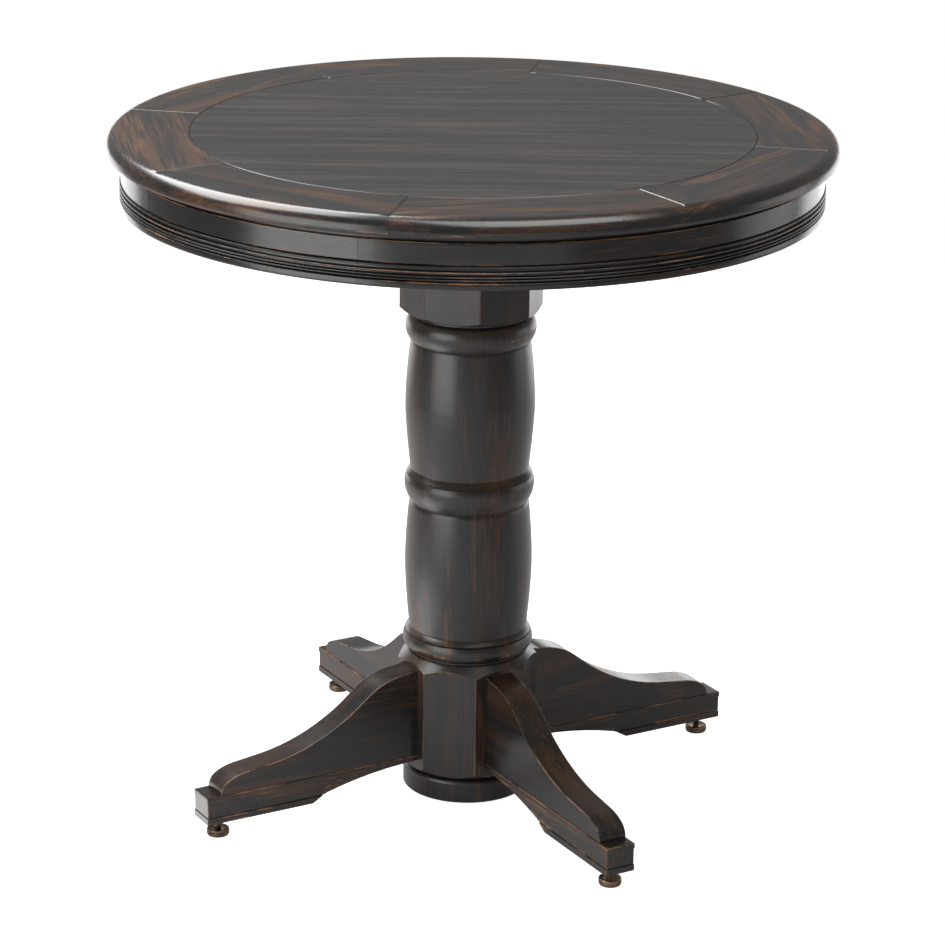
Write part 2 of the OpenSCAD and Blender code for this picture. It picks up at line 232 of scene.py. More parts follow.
def plain_material(name):
    """A new material, its tree, and the inputs of its shader."""
    material = bpy.data.materials.new(name)
    material.use_nodes = True
    return material, material.node_tree, material.node_tree.nodes["Principled BSDF"].inputs


def raise_grain(tree, shader, height, depth):
    """Raises a surface's fine relief, with its depth in millimetres."""
    bump = add(tree, "Bump", {"Height": height, "Distance": depth * mm, "Strength": 1.0})
    tree.links.new(bump[0], shader["Normal"])


def new_group(name, inputs, outputs):
    """An empty shader group with named sockets, and its input and output nodes."""
    group = bpy.data.node_groups.new(name, "ShaderNodeTree")
    for side, sockets in (("INPUT", inputs), ("OUTPUT", outputs)):
        for socket, kind in sockets.items():
            group.interface.new_socket(socket, in_out=side, socket_type="NodeSocket" + kind)
    return group, group.nodes.new("NodeGroupInput").outputs, group.nodes.new("NodeGroupOutput").inputs


# Black lacquer over stained wood: thin along the grain, gone in patches and on worn arrises,
# with open pores and a few dents.
rubbed_lacquer, given, result = new_group(
    "rubbed lacquer",
    {"Grain": "Vector", "Wear": "Float", "Streaks": "Float", "Patches": "Float", "Brown": "Color",
     "Stain": "Color", "Dulled": "Float"},
    {"Colour": "Color", "Roughness": "Float", "Height": "Float"},
)
tree = rubbed_lacquer
flow = stretched_noise(tree, given["Grain"], (1.7, 15, 15), 3, 1.0)
figure = stretched_noise(tree, given["Grain"], (3.2, 42, 42), 4, 0.9)
streak = stretched_noise(tree, given["Grain"], (9, 260, 260), 4, 0.3)
pore = step_up(tree, stretched_noise(tree, given["Grain"], (50, 1300, 1300), 1), 0.60, 0.72)
blotch = stretched_noise(tree, given["Grain"], (4.5, 19, 19), 3, 0.6)
flecks = stretched_noise(tree, given["Grain"], (60, 160, 160), 3)
spells = stretched_noise(tree, given["Grain"], (12, 12, 12), 2)
thin = step_up(tree, weigh(tree, (flow, 0.4), (figure, 0.25), (streak, 0.35)), 0.455, 0.61)
threshold = maths(tree, "SUBTRACT", 0.67, maths(tree, "MULTIPLY", given["Patches"], 0.16))
rubbed = weigh(tree, (blotch, 0.78), (figure, 0.1), (streak, 0.12))
patch = step_up(tree, maths(tree, "SUBTRACT", rubbed, threshold), 0.0, 0.13)
fibre = step_up(tree, weigh(tree, (streak, 0.7), (figure, 0.3)), 0.40, 0.60)
patch = maths(tree, "MULTIPLY", patch, maths(tree, "ADD", 0.25, maths(tree, "MULTIPLY", fibre, 0.75)))
line = weigh(tree, (given["Wear"], 1.0), (flecks, 0.6), (spells, 1.2))
line = maths(tree, "MULTIPLY", step_up(tree, line, 1.58, 1.88), step_up(tree, given["Wear"], 0.05, 0.35))
# Here and there a long knot, drawn to a point at both ends, with a lighter rim
spaced = add(tree, "VectorMath", {0: given["Grain"], 1: (3.1, 8.5, 8.5)}, operation="MULTIPLY")[0]
knots = add(tree, "TexVoronoi", {"Vector": spaced, "Scale": 1.0}, distance="MANHATTAN")
knotty = step_up(tree, add(tree, "SeparateColor", {0: knots["Color"]})[1], 0.74, 0.76)
ragged = weigh(tree, (knots["Distance"], 1.0), (flecks, 0.02))
knot = maths(tree, "MULTIPLY", step_up(tree, ragged, 0.088, 0.062), knotty)
knot_rim = maths(tree, "MULTIPLY", maths(tree, "PINGPONG", knot, 0.5), 1.3)
colour = blend_colour(tree, maths(tree, "MULTIPLY", thin, given["Streaks"]), black, given["Stain"])
browned = maths(tree, "MAXIMUM", patch, maths(tree, "MULTIPLY", knot, 0.6))
colour = blend_colour(tree, browned, colour, given["Brown"])
colour = blend_colour(tree, maths(tree, "MAXIMUM", line, knot_rim), colour, edge_brown)
colour = blend_colour(tree, maths(tree, "MULTIPLY", pore, 0.6), colour, pore_black)
tree.links.new(colour, result["Colour"])
rough = weigh(tree, (patch, 0.04), (line, 0.12), (thin, 0.02), (flecks, 0.04))
tree.links.new(maths(tree, "ADD", rough, given["Dulled"]), result["Roughness"])
cells = add(tree, "TexVoronoi", {"Vector": given["Grain"], "Scale": 24.0})
chance = add(tree, "SeparateColor", {0: cells["Color"]})
dented = step_up(tree, chance[0], 0.84, 0.86)
dent = maths(tree, "MULTIPLY", step_up(tree, cells["Distance"], 0.07, 0.02), dented)
tree.links.new(weigh(tree, (thin, 0.1), (pore, -0.25), (dent, -1.0)), result["Height"])


def lacquered(name, streaks, patches, brown, stain=brown_black, relief=0.1, dulled=0.2):
    """Semi-gloss lacquer with its own share of streaks and rubbed patches."""
    material, tree, shader = plain_material(name)
    finish = tree.nodes.new("ShaderNodeGroup")
    finish.node_tree = rubbed_lacquer
    tree.links.new(add(tree, "Attribute", {}, attribute_name="grain")["Vector"], finish.inputs["Grain"])
    tree.links.new(add(tree, "Attribute", {}, attribute_name="wear")["Fac"], finish.inputs["Wear"])
    own = {"Streaks": streaks, "Patches": patches, "Brown": brown, "Stain": stain, "Dulled": dulled}
    for socket, value in own.items():
        finish.inputs[socket].default_value = value
    tree.links.new(finish.outputs["Colour"], shader["Base Color"])
    tree.links.new(finish.outputs["Roughness"], shader["Roughness"])
    raise_grain(tree, shader, finish.outputs["Height"], relief)
    return material


post_lacquer = lacquered("post lacquer", 0.6, 0.9, post_brown, dulled=0.28)

post_turning = [
    # Foot drum with a rounded shoulder, and the quirk above it
    (94.9, post_foot), (96.9, post_foot + 2), *arc(89.9, 32, 7, 0, 90, 7), (86, 39), (86, 41.1),
    # Lower block, its flats run out on turned cones
    (94, 41.1), (past_corner, 52.5), (past_corner, 205.5), (91, 223.5), (88, 223.5), (88, 226.3),
    # Lower ring and lower barrel
    *arc(83.9, 241, 14.9, -64, 0, 9), *arc(70.8, 241, 28, 5, 25, 4),
    (94.2, 253.6), (95.2, 255.4), (93.6, 258), (91, 260.4), (89, 262.2),
    *swell(89.55, 263.6, 96.25, 364, 1.55, 12), *reversed(swell(90.65, 456.9, 96.25, 364, 1.8, 12)),
    # Middle ring and upper barrel
    (89.6, 460), (88.3, 462), *arc(50.65, 490.5, 47, -36, 0, 9), *arc(71.65, 492, 26, 4, 28, 4),
    (93.6, 504.9), (94.3, 506.4), (92.4, 508.8), (90, 511), (88.6, 512.8),
    *swell(89.15, 514, 97.15, 611, 1.4, 12), *reversed(swell(90.25, 707.7, 97.15, 611, 1.6, 12)),
    # Upper ring, quirk and upper block, and the bare inside
    (89.6, 709.6), (88.8, 711.2), *arc(62.6, 734.5, 35, -40, 0, 9), *arc(75.6, 734.5, 22, 8, 48, 5),
    (88.5, 752), (88.5, 756.4), (96.5, 756.6), (past_corner, 763.8),
    (past_corner, post_top), (hollow_r - 20, post_top), (hollow_r - 20, post_foot),
]
post_wear = [
    (96.9, post_foot + 2, 0.5), (96.3, 35, 0.6), (98.4, 237, 0.72, 14), (95.2, 255.4, 0.35),
    (91, 223.5, 0.4), (97.4, 485, 0.72, 14), (94.3, 506.4, 0.35), (97.5, 729, 0.72, 14), (96.5, 742, 0.4),
]


def lies_at(e, z):
    """Whether an edge lies at a height in millimetres, give or take one."""
    return all(abs(v.co.z / mm - z) <= 1 for v in e.verts)


stave = outline_face(post_turning, post_wear)
stave_wear = stave.verts.layers.float["wear"]
sweep(stave, -eighth / 2, eighth, 20)
plane_off(stave, (hollow_r, 0, 0), (-1, 0, 0))
plane_off(stave, (flat_r, 0, 0), (1, 0, 0))
for side in (-1, 1):
    score(stave, (0, side * (flat_r * math.tan(eighth / 2) - arris_band), 0), (0, 1, 0))
for z in (53.5, 205, 765.5):
    score(stave, (0, 0, z), (0, 0, 1))
block_rims = [
    e for e in stave.edges
    if all(abs(v.co.x / mm - flat_r) < 0.001 for v in e.verts) and e.calc_face_angle(0) > 0.2
    and not lies_at(e, post_top) and not lies_at(e, post_foot)
]
corner_edges = [e for e in block_rims if abs(e.verts[0].co.z - e.verts[1].co.z) > 8 * mm]
for e in set(block_rims) - set(corner_edges):
    for v in e.verts:
        v[stave_wear] = 0.6
ease(stave, corner_edges, corner_ease, 0.86)
lay_grain(stave, (0, 0, 1), (0, 1, 0))
for k in range(8):
    piece(f"stave_{k + 1}", stave, post_lacquer, "base", [f"post_stave_{k + 1}"], k * eighth, k)


# ---- Legs ----
# Four legs on the diagonals, each a moulded hardwood rail with an arch under it and an S-curved
# bracket glued and screwed on top, drawn up to the post by hanger bolts.

leg_angles = [math.atan2(*(sum(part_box(f"leveller_stud_{k}"), Vector()).yx)) for k in (1, 2, 3, 4)]
leveller_r = (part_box("leveller_stud_1")[0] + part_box("leveller_stud_1")[1]).xy.length / 2 / mm
leg_reach = 451.3
rail_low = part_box("leg_rail_1")[0].z / mm
rail_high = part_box("leg_rail_1")[1].z / mm
rail_w = 47.8
bracket_w = 44.8
bracket_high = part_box("leg_bracket_1")[1].z / mm
toe_round = 1.2
screw_hole_r = 7
insert_hole_r = 8
insert_hole_deep = 20
arch_run = 277  # distance from the post's axis at which the arch leaves the underside
side_score = 2.8 + arris_band  # past the deepest band and the eased arris
leg_brown = (0.056, 0.025, 0.013, 1)
# Height above the underside that each band of the rail reaches, and how far its sides are set in
rail_bands = [
    (4.5, 0), (9.5, 0), (11, 2), (14.2, 0.8), (31, 0.8), (34.2, 0.8), (38, 0), (rail_high - rail_low, 0),
]
rail_screws = [(170, 60), (330, 40)]  # distance from the post's axis, height of the head
leg_lacquer = lacquered("leg lacquer", 1.0, 0.75, leg_brown)


def walk(bm, point, heading, moves):
    """Draws a line in the XZ plane from a point: [length] goes straight on, [radius, turn] takes an
    arc that bends left for a positive turn, both spun or extruded from the last point."""
    last = bm.verts.new((point[0] * mm, 0, point[1] * mm))
    line = [last]
    for move in moves:
        ahead = Vector((math.cos(math.radians(heading)), 0, math.sin(math.radians(heading))))
        if len(move) == 1:
            last = bmesh.ops.extrude_vert_indiv(bm, verts=[last])["verts"][0]
            last.co += ahead * move[0] * mm
            line.append(last)
            continue
        radius, turn = move
        left = Vector((-ahead.z, 0, ahead.x))
        centre = last.co + left * radius * mm * math.copysign(1, turn)
        steps = max(3, round(abs(turn) / 2.5))
        before = len(bm.verts)
        bmesh.ops.spin(
            bm, geom=[last], cent=centre, axis=(0, -1, 0), dvec=(0, 0, 0),
            angle=math.radians(turn), steps=steps,
        )
        bm.verts.ensure_lookup_table()
        line += bm.verts[before:]
        last = line[-1]
        heading += turn
    return line


def thicken(bm, width):
    """Pulls a flat side view in the XZ plane into a solid of that width, centred on it."""
    bmesh.ops.translate(bm, verts=bm.verts[:], vec=(0, -width / 2 * mm, 0))
    made = bmesh.ops.extrude_face_region(bm, geom=bm.faces[:])["geom"]
    far_side = [v for v in made if isinstance(v, bmesh.types.BMVert)]
    bmesh.ops.translate(bm, verts=far_side, vec=(0, width * mm, 0))
    bmesh.ops.recalc_face_normals(bm, faces=bm.faces[:])


def cut_out(bm, cutter):
    """Takes the cutter's shape out of the bmesh."""
    stock, tool = (bpy.data.objects.new(n, bpy.data.meshes.new(n)) for n in ("stock", "tool"))
    for obj, shape in ((stock, bm), (tool, cutter)):
        shape.to_mesh(obj.data)
        bpy.context.scene.collection.objects.link(obj)
    boolean = stock.modifiers.new("cut", "BOOLEAN")
    boolean.object = tool
    boolean.solver = "EXACT"
    boolean.use_self = True
    done = bpy.data.meshes.new_from_object(stock.evaluated_get(bpy.context.evaluated_depsgraph_get()))
    bm.clear()
    bm.from_mesh(done)
    for obj in (stock, tool):
        bpy.data.objects.remove(obj)
    bpy.data.meshes.remove(done)
    cutter.free()


# The rail, drawn up band by band from its plan
rail = bmesh.new()
half = rail_w / 2
toe = [(leg_reach - arris_band - 1, half)]
toe += [(leg_reach - toe_round + x, half - toe_round + y) for x, y in arc(0, 0, toe_round, 90, 0, 3)]
toe += [(leg_reach, half - arris_band - 1)]
plan = [(flat_r, half), *toe, *[(x, -y) for x, y in reversed(toe)], (flat_r, -half)]
top = rail.faces.new([rail.verts.new((x * mm, y * mm, rail_low * mm)) for x, y in plan])
drawn_in = 0
for height, inset in rail_bands:
    for shift, level in ((inset - drawn_in, None), (0, height)):
        if shift == 0 and level is None:
            continue
        made = bmesh.ops.extrude_face_region(rail, geom=[top, *top.edges, *top.verts])["geom"]
        top = next(f for f in made if isinstance(f, bmesh.types.BMFace))
        for v in top.verts:
            v.co.y -= math.copysign(1, v.co.y) * shift * mm
            if v.co.x > (flat_r + 1) * mm:
                v.co.x -= shift * mm
            if level is not None:
                v.co.z = (rail_low + level) * mm
    drawn_in = inset
bmesh.ops.recalc_face_normals(rail, faces=rail.faces[:])
arch = bmesh.new()
walk(arch, (arch_run, rail_low), 150, [[17], [50, 15], [600, 12]])
for x, z in ((flat_r - 1, 62.2), (flat_r - 1, rail_low - 1), (arch_run, rail_low - 1)):
    arch.verts.new((x * mm, 0, z * mm))
arch.faces.new(arch.verts[:])
thicken(arch, rail_w + 2)
holes = [(x, head, screw_hole_r) for x, head in rail_screws]
for x, head, r in [*holes, (leveller_r, rail_low + insert_hole_deep, insert_hole_r)]:
    depth = head - rail_low + 1
    bmesh.ops.create_cone(
        arch, cap_ends=True, segments=32, radius1=r * mm, radius2=r * mm, depth=depth * mm,
        matrix=Matrix.Translation((x * mm, 0, (rail_low - 1 + depth / 2) * mm)),
    )
cut_out(rail, arch)
rail.verts.layers.float.new("wear")


def edges_where(bm, test, least=0.5):
    """The sharp outward edges whose middle passes a test, in millimetres."""
    found = []
    for e in bm.edges:
        if len(e.link_faces) == 2 and e.calc_face_angle_signed(0) > least:
            x, y, z = (e.verts[0].co + e.verts[1].co) / 2 / mm
            if test(x, y, z):
                found.append(e)
    return found


for side in (-1, 1):
    score(rail, (0, side * (half - side_score), 0), (0, 1, 0))
score(rail, (leg_reach - side_score, 0, 0), (1, 0, 0))
ease(rail, edges_where(rail, lambda x, y, z: x > flat_r + 1 and z > rail_high - 0.1), 0.8, 0.85)
lower_edges = edges_where(
    rail, lambda x, y, z: x > flat_r + 1 and z < rail_high - 3 and abs(y) > half - 3
)
ease(rail, lower_edges, 0.25, 0.78, 1)
lay_grain(rail, (1, 0, 0), (0, 1, 0))

# The bracket, from its toe over the S curve to the post
bracket = bmesh.new()
bracket.verts.layers.float.new("wear")
spare = 6  # drawn longer at the foot and at the post, and planed off
s_curve = [[spare], [24, 60], [75, 23], [42], [294, -31.3], [25], [107, 38.3]]
walk(bracket, (428.5, rail_high - spare), 90, s_curve)
for x, z in ((flat_r - spare, bracket_high), (flat_r - spare, rail_high - spare)):
    bracket.verts.new((x * mm, 0, z * mm))
bmesh.ops.remove_doubles(bracket, verts=bracket.verts[:], dist=1e-6)
bracket.faces.new(bracket.verts[:])
thicken(bracket, bracket_w)
sides = [f for f in bracket.faces if abs(f.normal.y) > 0.9]
for side in sides:
    bmesh.ops.inset_region(bracket, faces=[side], thickness=arris_band * mm, use_even_offset=True)
for side in (-1, 1):
    score(bracket, (0, side * (bracket_w / 2 - arris_band), 0), (0, 1, 0))
plane_off(bracket, (0, 0, rail_high), (0, 0, -1))
plane_off(bracket, (flat_r, 0, 0), (-1, 0, 0))
over = edges_where(
    bracket, lambda x, y, z: abs(y) > bracket_w / 2 - 0.01 and z > rail_high + 0.1 and x > flat_r + 0.1
)
ease(bracket, over, 1.1, 0.8, 3)
lay_grain(bracket, (1, 0, 0), (0, 1, 0))
for k, angle in enumerate(leg_angles, start=1):
    piece(f"rail_{k}", rail, leg_lacquer, "base", [f"leg_rail_{k}"], angle, k + 10)
    piece(f"bracket_{k}", bracket, leg_lacquer, "base", [f"leg_bracket_{k}"], angle, k + 14)


# ---- Levellers ----
# A screw foot under each toe: a turned disc in brushed antique bronze on a threaded stud, with a
# rubber pad under it. The stud runs in a steel insert let into the rail.

disc_low, disc_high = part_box("leveller_stud_1")
disc_r = (disc_high.x - disc_low.x) / 2 / mm
disc_top = 10.3
disc_foot = disc_low.z / mm
stud_r = 5
stud_top = disc_high.z / mm
thread_pitch = 1.5
root_r = stud_r - 0.6
pad_r = disc_r - 1
film = 0.05  # left free between the pad and the disc, which turns on it
bronze_light = (0.29, 0.20, 0.13, 1)
bronze_dark = (0.055, 0.036, 0.026, 1)
rubber_black = (0.012, 0.012, 0.0125, 1)
rubber_grey = (0.022, 0.022, 0.022, 1)


def spin_round(points, steps=64):
    """A closed round shape from an outline that starts and ends on the axis, in millimetres."""
    bm = bmesh.new()
    line = [bm.verts.new((r * mm, 0, z * mm)) for r, z in points]
    edges = [bm.edges.new(pair) for pair in zip(line, line[1:])]
    bmesh.ops.spin(
        bm, geom=line + edges, cent=(0, 0, 0), axis=(0, 0, 1), dvec=(0, 0, 0),
        angle=math.tau, steps=steps, use_merge=True,
    )
    bmesh.ops.remove_doubles(bm, verts=bm.verts[:], dist=1e-6)
    bmesh.ops.recalc_face_normals(bm, faces=bm.faces[:])
    return bm


def own_place(tree):
    """Where a point of the piece lies."""
    return add(tree, "TexCoord", {})["Object"]


# Bronze plate: turned rings of fine brushing, dark in the hollows and bare on the rim
bronze, tree, shader = plain_material("antique bronze")
rings = stretched_noise(tree, own_place(tree), (60, 60, 2600), 2)
cloud = stretched_noise(tree, own_place(tree), (90, 90, 160), 3)
worn_rim = add(tree, "Attribute", {}, attribute_name="wear")["Fac"]
bare = step_up(tree, weigh(tree, (rings, 0.5), (cloud, 0.5)), 0.42, 0.62)
bare = weigh(tree, (bare, 1.0), (worn_rim, 0.7))
tree.links.new(blend_colour(tree, bare, bronze_dark, bronze_light), shader["Base Color"])
tree.links.new(maths(tree, "SUBTRACT", 0.46, maths(tree, "MULTIPLY", rings, 0.16)), shader["Roughness"])
shader["Metallic"].default_value = 0.9
raise_grain(tree, shader, rings, 0.03)

# Moulded rubber with a faint grain
rubber, tree, shader = plain_material("black rubber")
grit = stretched_noise(tree, own_place(tree), (1400, 1400, 1400), 2)
tree.links.new(blend_colour(tree, grit, rubber_black, rubber_grey), shader["Base Color"])
tree.links.new(maths(tree, "ADD", 0.62, maths(tree, "MULTIPLY", grit, 0.2)), shader["Roughness"])
raise_grain(tree, shader, grit, 0.05)

disc = spin_round([
    (0, disc_foot), (disc_r - 2.6, disc_foot), (disc_r - 0.9, disc_foot),
    *arc(disc_r - 0.9, disc_foot + 0.9, 0.9, -90, 0, 3), (disc_r, disc_foot + 2.2), (disc_r, disc_top - 2.8),
    *arc(disc_r - 1.4, disc_top - 1.4, 1.4, 0, 90, 4), (disc_r - 2.6, disc_top), (stud_r + 1.2, disc_top),
    (stud_r + 0.2, disc_top - 0.4), (root_r, disc_top - 0.4), (root_r, stud_top - 0.6),
    (root_r - 0.8, stud_top), (0, stud_top),
])
disc_wear = disc.verts.layers.float.new("wear")
for v in disc.verts:
    off_corner = min(abs(v.co.z / mm - z) for z in (disc_foot, disc_top))
    v[disc_wear] = 0.8 if abs(v.co.xy.length / mm - disc_r) < 1 and off_corner < 1.3 else 0
# The thread, one tooth wound up the stud
tooth = [(root_r - 0.05, -0.5), (stud_r, 0), (root_r - 0.05, 0.5)]
winds = int((stud_top - 2 - disc_top) / thread_pitch)
steps = 24
start = [disc.verts.new((r * mm, 0, (disc_top + 0.5 + z) * mm)) for r, z in tooth]
section = disc.faces.new(start)
bmesh.ops.spin(
    disc, geom=[section, *section.edges, *section.verts], cent=(0, 0, 0), axis=(0, 0, 1),
    dvec=(0, 0, thread_pitch / steps * mm), angle=math.tau * winds, steps=steps * winds,
)
bmesh.ops.recalc_face_normals(disc, faces=disc.faces[:])
pad = spin_round([
    (0, 0), (pad_r - 4, 0), (pad_r - 0.5, 0), *arc(pad_r - 0.5, 0.5, 0.5, -60, 0, 2),
    (pad_r, disc_foot - film), (0, disc_foot - film),
])
for shape in (disc, pad):
    bmesh.ops.translate(shape, verts=shape.verts[:], vec=(leveller_r * mm, 0, 0))
for k, angle in enumerate(leg_angles, start=1):
    body = f"leveller_{k}"
    piece(f"screw_foot_{k}", disc, bronze, body + "_screw", [f"leveller_stud_{k}"], angle)
    piece(f"foot_pad_{k}", pad, rubber, body + "_foot", [f"leveller_pad_{k}"], angle)


# ---- Frame under the bed ----
# An octagonal hardwood plate bolted down into the post, two cross rails half-lapped over it and
# ledge blocks round the apron, all left bare and screwed together.

oak_light = (0.50, 0.34, 0.19, 1)
oak_dark = (0.30, 0.175, 0.085, 1)

# Planed wood with growth rings cut along the board
bare_grain, given, result = new_group(
    "planed wood",
    {"Place": "Vector", "Light": "Color", "Dark": "Color"},
    {"Colour": "Color", "Roughness": "Float", "Height": "Float"},
)
tree = bare_grain
bands = stretched_noise(tree, given["Place"], (2.5, 45, 45), 3, 1.4)
fibre = stretched_noise(tree, given["Place"], (20, 900, 900), 3)
late = maths(tree, "PINGPONG", maths(tree, "MULTIPLY", bands, 7), 0.5)
dark = weigh(tree, (step_up(tree, late, 0.28, 0.5), 0.55), (fibre, 0.5))
tree.links.new(blend_colour(tree, dark, given["Light"], given["Dark"]), result["Colour"])
tree.links.new(maths(tree, "ADD", 0.55, maths(tree, "MULTIPLY", fibre, 0.22)), result["Roughness"])
tree.links.new(maths(tree, "SUBTRACT", fibre, maths(tree, "MULTIPLY", late, 0.3)), result["Height"])


def bare_wood(name, light, dark, turn=(0, 0, 0)):
    """Unfinished wood whose length lies along X, or another way when the figure is turned."""
    material, tree, shader = plain_material(name)
    figure = tree.nodes.new("ShaderNodeGroup")
    figure.node_tree = bare_grain
    placed = add(tree, "Mapping", {"Vector": own_place(tree), "Rotation": turn})
    tree.links.new(placed[0], figure.inputs["Place"])
    figure.inputs["Light"].default_value = light
    figure.inputs["Dark"].default_value = dark
    tree.links.new(figure.outputs["Colour"], shader["Base Color"])
    tree.links.new(figure.outputs["Roughness"], shader["Roughness"])
    raise_grain(tree, shader, figure.outputs["Height"], 0.12)
    return material


def finish_node(material, *names):
    """Gives CAD nodes that stay as they are their material."""
    for name in names:
        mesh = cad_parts[name].data
        mesh.materials.clear()
        mesh.materials.append(material)


oak = bare_wood("bare oak", oak_light, oak_dark)
oak_across = bare_wood("bare oak across", oak_light, oak_dark, (0, 0, math.radians(90)))
finish_node(oak, "mounting_plate", "cross_rail_long", "ledge_blocks")
finish_node(oak_across, "cross_rail_lapped", "border_splines", "apron_splines")


# ---- Screws and bolts ----
# Zinc-plated steel: hanger bolts and nuts for the legs, bolts through the plate, wood screws for
# the rails, ledges and cleats, and the threaded inserts of the levellers.

zinc_light = (0.62, 0.63, 0.65, 1)
zinc_dull = (0.33, 0.335, 0.35, 1)
zinc, tree, shader = plain_material("zinc plated steel")
spangle = stretched_noise(tree, own_place(tree), (500, 500, 500), 3)
stain = stretched_noise(tree, own_place(tree), (70, 70, 70), 3)
dulled = step_up(tree, stain, 0.35, 0.7)
tree.links.new(blend_colour(tree, dulled, zinc_light, zinc_dull), shader["Base Color"])
tree.links.new(maths(tree, "ADD", 0.26, maths(tree, "MULTIPLY", spangle, 0.22)), shader["Roughness"])
shader["Metallic"].default_value = 1.0
raise_grain(tree, shader, spangle, 0.02)
finish_node(
    zinc, "leg_bolts", "leg_nuts", "plate_bolts", "plate_screws", "rail_screws", "ledge_screws",
    "cleat_screws", "leveller_inserts",
)


# ---- Play bed ----
# A birch plywood disc on the ledge blocks, with the playing cloth stretched over a thin foam
# backing and tucked down round its rim.

birch_light = (0.62, 0.47, 0.30, 1)
birch_dark = (0.43, 0.29, 0.165, 1)
cloth_low, cloth_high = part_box("playing_cloth")
cloth_r = cloth_high.x / mm
cloth_base = cloth_low.z / mm
cloth_top = cloth_high.z / mm
cloth_green = (0.012, 0.085, 0.036, 1)
cloth_light = (0.030, 0.140, 0.066, 1)
weave_pitch = 1.1

birch = bare_wood("birch plywood", birch_light, birch_dark)
finish_node(birch, "bed_panel")

cloth = spin_round([
    (0, cloth_base), (cloth_r - 2, cloth_base), (cloth_r - 0.3, cloth_base), (cloth_r, cloth_base + 0.4),
    *arc(cloth_r - 2, cloth_top - 2, 2, 0, 90, 5), (cloth_r - 6, cloth_top), (cloth_r * 0.5, cloth_top),
    (0, cloth_top),
], steps=128)
felt, tree, shader = plain_material("playing cloth")
per_metre = (math.tau / weave_pitch / mm,) * 3
threads = add(tree, "VectorMath", {0: own_place(tree), 1: per_metre}, operation="MULTIPLY")[0]
thread = add(tree, "SeparateXYZ", {0: threads})
weave = maths(tree, "MULTIPLY", maths(tree, "SINE", thread["X"]), maths(tree, "SINE", thread["Y"]))
nap = stretched_noise(tree, own_place(tree), (900, 900, 900), 3)
brushed = stretched_noise(tree, own_place(tree), (9, 14, 9), 3)
pile = weigh(tree, (nap, 0.6), (weave, 0.2))
shade = step_up(tree, weigh(tree, (pile, 1.0), (brushed, 0.5)), 0.25, 0.95)
tree.links.new(blend_colour(tree, shade, cloth_green, cloth_light), shader["Base Color"])
tree.links.new(maths(tree, "ADD", 0.82, maths(tree, "MULTIPLY", nap, 0.15)), shader["Roughness"])
shader["Sheen Weight"].default_value = 0.35
shader["Sheen Roughness"].default_value = 0.5
raise_grain(tree, shader, pile, 0.25)
cloth_piece = piece("bed_cloth", cloth, felt, "base", ["playing_cloth"], crease=60)


# ---- Apron ----
# Eight curved hardwood segments splined end to end: a flat face over four reeds and a lower band,
# and a set-back strip at the top where the lift-off top rests on rubber bumpers.

apron_low, apron_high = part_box("apron_segment_1")
apron_z0 = apron_low.z / mm
apron_z1 = apron_high.z / mm
apron_turn = math.radians(-2)
apron_face_r = 512
apron_in_r = 490
reed_r = apron_high.x / mm
reed_root = apron_face_r - 2.3
face_z0 = apron_z0 + 34.3
face_z1 = apron_z1 - 6.1
strip_r = apron_face_r - 6
apron_brown = (0.066, 0.029, 0.0145, 1)
apron_lacquer = lacquered("apron lacquer", 0.6, 0.6, apron_brown)


def reed(low, high, r, out=2.4, steps=8):
    """A half-round bead between two heights."""
    turn = [math.pi * i / steps for i in range(steps + 1)]
    return [(r - out * (1 - math.sin(a)), low + (high - low) * (1 - math.cos(a)) / 2) for a in turn]


def end_rims(bm):
    """The edges round the two end faces of a curved board."""
    return [e for e in bm.edges if len(e.link_faces) == 2 and any(len(f.verts) > 20 for f in e.link_faces)]


apron_section = [
    (apron_in_r, apron_z0), (reed_r - 0.8, apron_z0), *arc(reed_r - 0.8, apron_z0 + 0.8, 0.8, -60, 0, 2),
    (reed_r, apron_z0 + 4.5), *arc(reed_r - 0.7, apron_z0 + 8.5, 0.7, 0, 60, 2), (reed_root, apron_z0 + 11),
    *reed(apron_z0 + 11.2, apron_z0 + 14.4, reed_r), (reed_root, apron_z0 + 14.6),
    *reed(apron_z0 + 15.3, apron_z0 + 18.6, reed_r), (reed_root, apron_z0 + 18.9), (reed_root, apron_z0 + 21),
    *reed(apron_z0 + 21.3, apron_z0 + 25, reed_r), (reed_root, apron_z0 + 25.3), (reed_root, apron_z0 + 28),
    *reed(apron_z0 + 28.5, apron_z0 + 32.3, reed_r - 0.3), (reed_root + 0.6, apron_z0 + 32.8),
    (apron_face_r - 0.8, face_z0 - 0.8), (apron_face_r, face_z0),
    *arc(apron_face_r - 1, face_z1 - 1, 1, 0, 90, 3), (strip_r, face_z1), (strip_r, apron_z1),
    (apron_in_r, apron_z1),
]
apron_wear = [
    (apron_face_r - 0.1, face_z1 - 0.6, 1.0), (apron_face_r - 0.4, face_z0 - 0.4, 1.05),
    (reed_r, apron_z0 + 9, 0.85), (reed_r, apron_z0 + 0.5, 0.6), (reed_r, apron_z0 + 13, 0.6),
    (reed_r, apron_z0 + 17, 0.7), (reed_r, apron_z0 + 23.4, 1.05), (reed_r, apron_z0 + 30.6, 0.6),
]
apron = outline_face(apron_section, apron_wear, 2.4)
sweep(apron, 0, eighth, 24)
ease(apron, end_rims(apron), seam_ease, 0.1, 1)
grain = apron.verts.layers.float_vector.new("grain")
for v in apron.verts:
    v[grain] = (math.atan2(v.co.y, v.co.x) * apron_face_r * mm, v.co.z, v.co.xy.length)
for k in range(8):
    piece(
        f"apron_{k + 1}", apron, apron_lacquer, "base", [f"apron_segment_{k + 1}"],
        apron_turn + k * eighth, k + 20,
    )
finish_node(rubber, "top_bumpers")


# ---- Top ----
# A lift-off top: a veneered centre panel tongued into a border of eight mitred segments with a
# bullnose edge, V grooves over every joint, and four bare cleats underneath that locate it.

